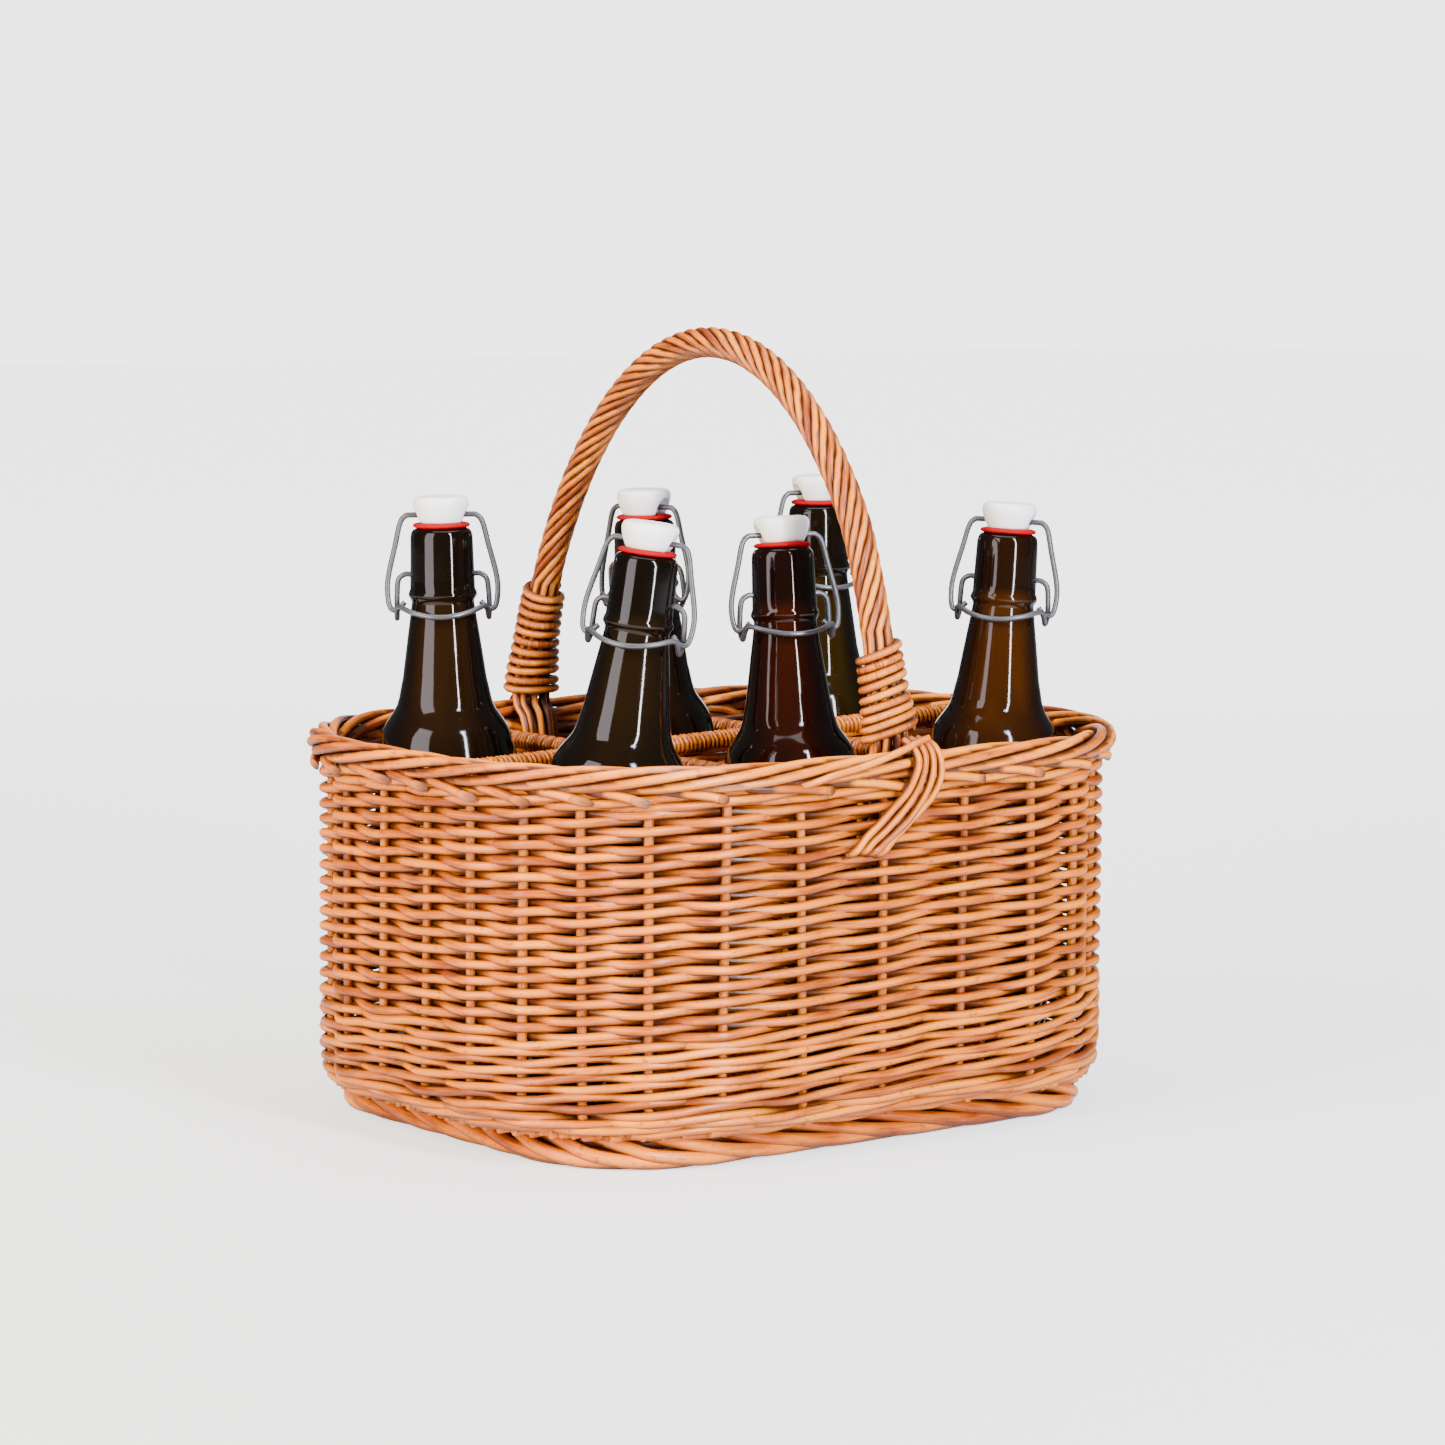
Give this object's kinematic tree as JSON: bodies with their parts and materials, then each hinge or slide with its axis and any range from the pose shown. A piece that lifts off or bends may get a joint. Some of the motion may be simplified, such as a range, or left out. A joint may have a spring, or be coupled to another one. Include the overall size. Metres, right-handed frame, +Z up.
{
  "type": "wicker bottle carrier",
  "caption": "Woven willow carrier with rounded corners, a foot ring, an arched rope-twist handle and crossing dividers, filled with amber swing-top bottles.",
  "frame": {"origin": "centre of the bounding box on the ground under the basket", "axes": "+Z up, +X along the basket's long side, -Y the near long side in the picture"},
  "size_m": [0.3828, 0.307, 0.3749],
  "materials": {
    "willow": "peeled willow rods, satin",
    "dark_willow": "darker willow strips, satin",
    "glass": "dark amber glass filled with drink, glossy",
    "stopper": "white stopper, glossy",
    "rubber": "red rubber gasket, matte",
    "steel": "drawn steel wire, satin"
  },
  "bodies": {
    "root": {"foot_border": "willow", "base_wale": "willow", "lower_wale": "willow", "side_weave": "willow", "upper_wale": "willow", "rim_border": "willow", "handle": "willow", "handle_wrap_front": "willow", "handle_lashing_front": "willow", "handle_wrap_back": "willow", "handle_lashing_back": "willow", "floor_weave": "dark_willow", "divider_long": "dark_willow", "divider_left_front": "dark_willow", "divider_left_back": "dark_willow", "divider_right_front": "dark_willow", "divider_right_back": "dark_willow", "bottle_back_left": "glass", "gasket_back_left": "rubber", "stopper_back_left": "stopper", "bail_back_left": "steel", "lever_back_left": "steel", "bottle_front_left": "glass", "gasket_front_left": "rubber", "stopper_front_left": "stopper", "bail_front_left": "steel", "lever_front_left": "steel", "bottle_front_middle": "glass", "gasket_front_middle": "rubber", "stopper_front_middle": "stopper", "bail_front_middle": "steel", "lever_front_middle": "steel", "bottle_back_middle": "glass", "gasket_back_middle": "rubber", "stopper_back_middle": "stopper", "bail_back_middle": "steel", "lever_back_middle": "steel", "bottle_back_right": "glass", "gasket_back_right": "rubber", "stopper_back_right": "stopper", "bail_back_right": "steel", "lever_back_right": "steel", "bottle_front_right": "glass", "gasket_front_right": "rubber", "stopper_front_right": "stopper", "bail_front_right": "steel", "lever_front_right": "steel"}
  },
  "joints": []
}
